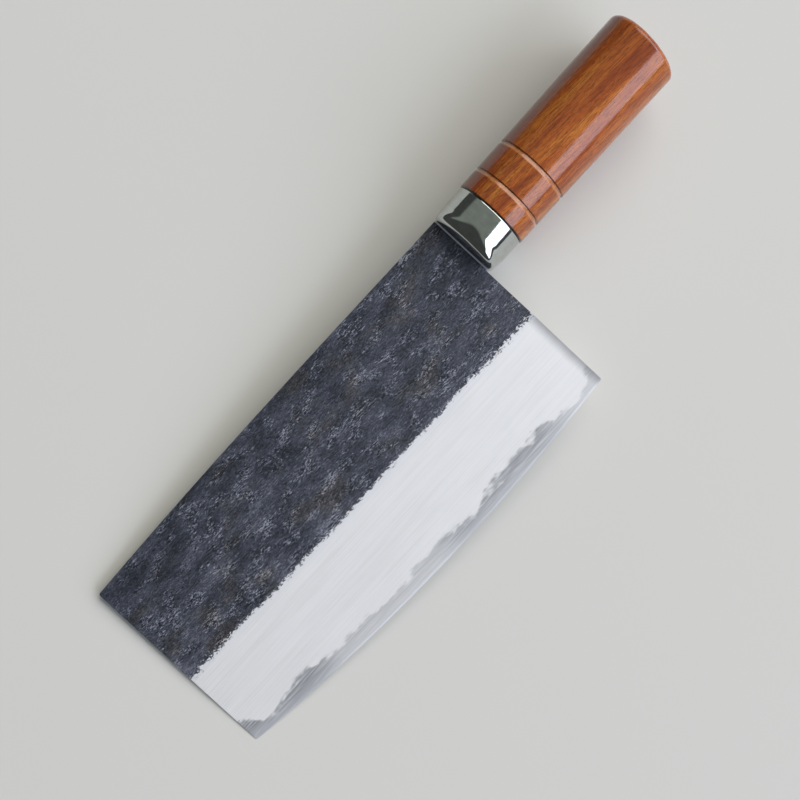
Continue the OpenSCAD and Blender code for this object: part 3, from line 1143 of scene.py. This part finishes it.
@dataclass(frozen=True)
class PolishedSteel:
    """Stainless steel polished on a wheel: a near mirror with the faintest cloud and swirl."""

    name: str = "mirror_polished_stainless_steel"
    tones: tuple = ((0.35, "#b4b8b5"), (0.65, "#c6c9c6"))
    swirl_mm: tuple = (3.0, 3.0, 3.0)
    hair_mm: tuple = (0.25, 6.0, 6.0)
    swirl_depth: float = 0.012

    def make(self, frame: KnifeFrame) -> bpy.types.Material:
        """Build the material.

        Args:
            frame: The knife's frame.

        Returns:
            The material.
        """
        shader = Shader(self.name, frame)
        swirl = shader.blotches(self.swirl_mm, 4, 5.0)
        tone = swirl * 0.6 + shader.blotches(self.hair_mm, 3, 25.0) * 0.4
        return shader.finish({
            "Base Color": shader.add("ShaderNodeValToRGB", (tone,), stops=self.tones),
            "Roughness": tone * 0.08 + 0.05,
            "Metallic": 1.0,
            "Normal": shader.add("ShaderNodeBump", {"Height": swirl, "Distance": self.swirl_depth * MM}),
        })


@dataclass(frozen=True)
class LacqueredWood:
    """Turned hardwood under clear lacquer.

    The wood is orange brown, with dark pores and streaks a little off the axis and flame-like
    figure near the ferrule. A redder, darker stripe along the spine's side is painted shade, on
    the side away from the window. The butt shows growth rings. The lacquer puts one soft strip
    of window light over it. In the turned grooves a paler slope is a painted highlight, and a
    dark line at the bottom is painted shade.
    """

    handle: Handle
    name: str = "lacquered_turned_hardwood"
    tones: tuple = ((0.3, "#8a4017"), (0.45, "#a5541d"), (0.58, "#b56523"), (0.74, "#c57b2f"))
    end_tones: tuple = ((0.25, "#6b2f12"), (0.5, "#8a4519"), (0.7, "#a05624"))
    streak_colour: str = "#62260f"
    # Painted shade: colour of the darker stripe along the spine's side
    spine_side_painted_shade_colour: str = "#4d1206"
    flame_colour: str = "#6b3213"
    pore_colour: str = "#4a1a09"
    # Painted highlight on the grooves' slopes, and painted shade at their bottoms
    groove_painted_highlight_colour: str = "#c08a5c"
    groove_painted_shade_colour: str = "#3a170b"
    joint_colour: str = "#24100a"
    band_mm: tuple = (40.0, 3.0, 3.0)
    streak_mm: tuple = (8.0, 0.42, 0.42)
    # Real pores are about 0.1 mm across; they are drawn as coarse as the picture can show
    pore_mm: tuple = (2.6, 0.3, 0.3)
    flame_mm: tuple = (5.0, 1.6, 1.6)
    fleck_mm: tuple = (20.0, 0.5, 0.5)
    ring_sway_mm: tuple = (30.0, 9.0, 9.0)
    ring_mm: float = 1.7
    pith: tuple = (-27.0, 15.0)
    pore_depth: float = 0.02
    coat_depth: float = 0.008
    coat: tuple = (
        ("Roughness", 0.5), ("Specular IOR Level", 0.1), ("Coat Weight", 1.0), ("Coat Roughness", 0.13),
        ("Coat IOR", 1.5))

    def end_grain(self, shader: Shader) -> Wire:
        """Colour of the cut end: growth rings about a pith that lies outside the handle.

        Args:
            shader: The material's nodes.

        Returns:
            The colour.
        """
        y, z = shader.y - self.pith[0], shader.z - self.pith[1]
        distance = shader.add("ShaderNodeMath", (y * y + z * z,), operation="SQRT")
        distance = distance + shader.blotches(self.ring_sway_mm, 3, 71.0) * 5.0
        wave = shader.add("ShaderNodeMath", (distance * (math.tau / self.ring_mm),), operation="SINE")
        tone = wave * 0.16 + shader.blotches(self.fleck_mm, 3, 77.0) * 0.9
        return shader.add("ShaderNodeValToRGB", (tone,), stops=self.end_tones)

    def turned_marks(self, shader: Shader) -> list[tuple]:
        """Painted highlight and painted shade of the grooves, and the dark joint at the ferrule.

        Args:
            shader: The material's nodes.

        Returns:
            The stains, as Shader.stain takes them.
        """
        marks = []
        for groove in self.handle.grooves():
            # Painted highlight on each groove's slope, and painted shade in its bottom where the steep wall lies
            slope = shader.add("ShaderNodeMapRange", (shader.x, groove + 0.05, groove - 0.25, 0.0, 0.35), **SMOOTH)
            groove_shade = shader.add("ShaderNodeMapRange", (shader.x, groove + 0.5, groove + 0.3, 0.0, 0.3), **SMOOTH)
            marks.append((shader.x, groove - 2.0, groove - 1.4, slope, self.groove_painted_highlight_colour))
            marks.append((shader.x, groove - 0.2, groove, groove_shade, self.groove_painted_shade_colour))
        front = self.handle.ferrule_len
        return marks + [(shader.x, front + 0.75, front + 0.4, 1.0, self.joint_colour)]

    def make(self, frame: KnifeFrame) -> bpy.types.Material:
        """Build the material.

        Args:
            frame: The knife's frame.

        Returns:
            The material.
        """
        shader = Shader(self.name, frame)
        band = shader.blotches(self.band_mm, 3, 3.0, distortion=0.4, turn=3.0)
        streak = shader.blotches(self.streak_mm, 4, 11.0, roughness=0.65, distortion=0.6, turn=3.5)
        pores = shader.blotches(self.pore_mm, 4, 7.0, roughness=0.65, turn=4.0)
        flame = shader.blotches(self.flame_mm, 4, 61.0, distortion=1.2, turn=24.0)
        near = shader.add("ShaderNodeMapRange", (shader.x, 52.0, 24.0, 0.0, 0.6), **SMOOTH)
        butt = self.handle.ferrule_len + self.handle.wood_len
        wood = shader.stain(
            shader.add("ShaderNodeValToRGB", (band,), stops=self.tones),
            (streak, 0.46, 0.62, 0.6, self.streak_colour),
            # Painted shade: a redder, darker stripe along the spine's side, away from the window
            (shader.y + band * 5.0, 12.0, 16.5, 0.72, self.spine_side_painted_shade_colour),
            (shader.x, butt - 2.6, butt - 0.6, 0.9, self.end_grain(shader)),
            (flame, 0.5, 0.66, near, self.flame_colour),
            (pores, 0.5, 0.62, 0.5, self.pore_colour),
            *self.turned_marks(shader))
        return shader.finish({
            "Base Color": wood,
            "Normal": shader.add("ShaderNodeBump", {"Height": pores, "Distance": self.pore_depth * MM}),
            "Coat Normal": shader.add("ShaderNodeBump", {"Height": pores, "Distance": self.coat_depth * MM}),
            **dict(self.coat),
        })


@dataclass(frozen=True)
class PlainFinish:
    """The mottled, shop-made surface of a hidden piece."""

    name: str
    low: str
    high: str
    metallic: float
    roughness: float
    mottle_mm: tuple = (6.0, 2.0, 2.0)

    def make(self, frame: KnifeFrame) -> bpy.types.Material:
        """Build the material.

        Args:
            frame: The knife's frame.

        Returns:
            The material.
        """
        shader = Shader(self.name, frame)
        tone = shader.blotches(self.mottle_mm, 4, 1.0)
        return shader.finish({
            "Base Color": shader.add("ShaderNodeValToRGB", (tone,), stops=((0.3, self.low), (0.7, self.high))),
            "Metallic": self.metallic,
            "Roughness": self.roughness,
        })


DRAWN_STEEL = PlainFinish("drawn_mild_steel", "#77787a", "#8f9092", 1.0, 0.45)
CAST_EPOXY = PlainFinish("cured_epoxy", "#b39a5c", "#c9b172", 0.0, 0.3)


@dataclass
class Cleaver:
    """The whole knife."""

    frame: KnifeFrame
    nodes: dict
    shape: BladeShape = field(default_factory=BladeShape)

    def dress(self, name: str, material: bpy.types.Material) -> None:
        """Put one material on a node of the frame.

        Args:
            name: The node's name.
            material: The finish.
        """
        data = self.nodes[name].data
        data.materials.clear()
        data.materials.append(material)
        LOG.info("%s dressed in %s", name, material.name)

    def build(self) -> None:
        """Build the shown pieces and dress the nodes that stay."""
        ground = GroundSteel(self.shape)
        forged = ForgedSkin(ground).make(self.frame)
        skins = Skins(self.frame, self.shape)
        for side in Side:
            skins.build(side, forged)
        handle = Handle(self.frame)
        handle.build(LacqueredWood(handle).make(self.frame))
        Ferrule(self.frame).build(PolishedSteel().make(self.frame))
        self.dress("blade_core", ground.make(self.frame))
        self.dress("tang", DRAWN_STEEL.make(self.frame))
        self.dress("tang_adhesive", CAST_EPOXY.make(self.frame))


@dataclass(frozen=True)
class Softbox:
    """A rectangular soft light that faces the middle of the table, in metres and watts."""

    name: str
    place: tuple
    size: tuple
    watts: float
    colour: str

    def build(self) -> None:
        """Hang the light."""
        light = bpy.data.lights.new(self.name, "AREA")
        light.shape = "RECTANGLE"
        light.size, light.size_y = self.size
        light.energy = self.watts
        light.color = srgb(self.colour)[:3]
        lamp = bpy.data.objects.new(self.name, light)
        lamp.location = self.place
        lamp.rotation_euler = (-Vector(self.place)).to_track_quat("-Z", "Y").to_euler()
        bpy.context.collection.objects.link(lamp)


@dataclass
class Studio:
    """Table, lights and camera.

    A large window-like softbox stands on the cutting edge's side, low in the sky, and the room
    above is dim, as the polished ferrule shows it. A second wide softbox stands beyond the
    butt: it lights the wood and the blade, but lies outside what the ferrule mirrors.
    """

    frame: KnifeFrame
    softboxes: tuple = (
        Softbox("window_softbox", (2.1, -6.45, 3.8), (11.0, 5.1), 680.0, "#e6ecff"),
        Softbox("fill_softbox", (5.4, 0.0, 5.0), (9.5, 6.5), 560.0, "#fffcf8"))
    table_half: float = 1.6
    table_colour: str = "#cfcec9"
    dark_room: str = "#4a4c4a"
    overhead: str = "#8b918a"
    # The camera looks straight down and is shifted, as the photograph's perspective shows; the
    # picture's width is measured on a plane at the height of the blade's middle
    camera_height: float = 0.56
    plane_mm: float = 4.2
    picture_mm: float = 322.3
    sensor_mm: float = 36.0
    turn_deg: float = 47.46
    target: tuple = (-60.58, -22.32)
    shift: float = 0.16

    def build(self) -> None:
        """Build the table, the lights and the camera."""
        self.table()
        for softbox in self.softboxes:
            softbox.build()
        self.world()
        self.camera()

    def table(self) -> None:
        """A pale table top, wider than the view."""
        mesh = bpy.data.meshes.new("table_top")
        half = self.table_half
        mesh.from_pydata([(-half, -half, 0), (half, -half, 0), (half, half, 0), (-half, half, 0)], [], [(0, 1, 2, 3)])
        table = bpy.data.objects.new("table_top", mesh)
        bpy.context.collection.objects.link(table)
        shader = Shader("pale_matt_table", self.frame)
        mesh.materials.append(shader.finish({"Base Color": self.table_colour, "Roughness": 0.8}))

    def world(self) -> None:
        """A dim room: grey green overhead, dark low down and on the side of the knife's tip."""
        world = bpy.data.worlds.new("studio")
        bpy.context.scene.world = world
        world.use_nodes = True
        nodes = Nodes(world.node_tree)
        coords = nodes.add("ShaderNodeTexCoord", out="Generated")
        x, z = (nodes.add("ShaderNodeSeparateXYZ", (coords,), axis) for axis in "XZ")
        high = nodes.add("ShaderNodeMapRange", (x, -0.12, 0.06)) * nodes.add("ShaderNodeMapRange", (z, 0.47, 0.58))
        tones = {FACTOR: high, FIRST: self.dark_room, SECOND: self.overhead}
        tone = nodes.add("ShaderNodeMix", tones, MIXED, **COLOURS)
        nodes.feed(world.node_tree.nodes["Background"], {"Color": tone})

    def camera(self) -> None:
        """A camera straight above, turned and shifted as the photograph is."""
        data = bpy.data.cameras.new("camera")
        camera = bpy.data.objects.new("camera", data)
        bpy.context.collection.objects.link(camera)
        turn = math.radians(self.turn_deg)
        target = self.frame.place(*self.target, 0.0)
        back = self.shift * self.picture_mm * MM
        camera.location = (target.x - back * math.sin(turn), target.y - back * math.cos(turn), self.camera_height)
        camera.rotation_euler = (0, 0, -turn)
        data.sensor_width = self.sensor_mm
        data.lens = data.sensor_width * (self.camera_height / MM - self.plane_mm) / self.picture_mm
        data.shift_y = self.shift
        bpy.context.scene.camera = camera


def main() -> None:
    """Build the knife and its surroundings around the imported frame."""
    logging.basicConfig(level=logging.INFO, format="%(message)s")
    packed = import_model()
    knife = KnifeFrame.from_record(packed["record"])
    Cleaver(knife, packed["nodes"]).build()
    Studio(knife).build()
    bpy.context.scene.view_settings.view_transform = "Standard"


if __name__ == "__main__":
    main()
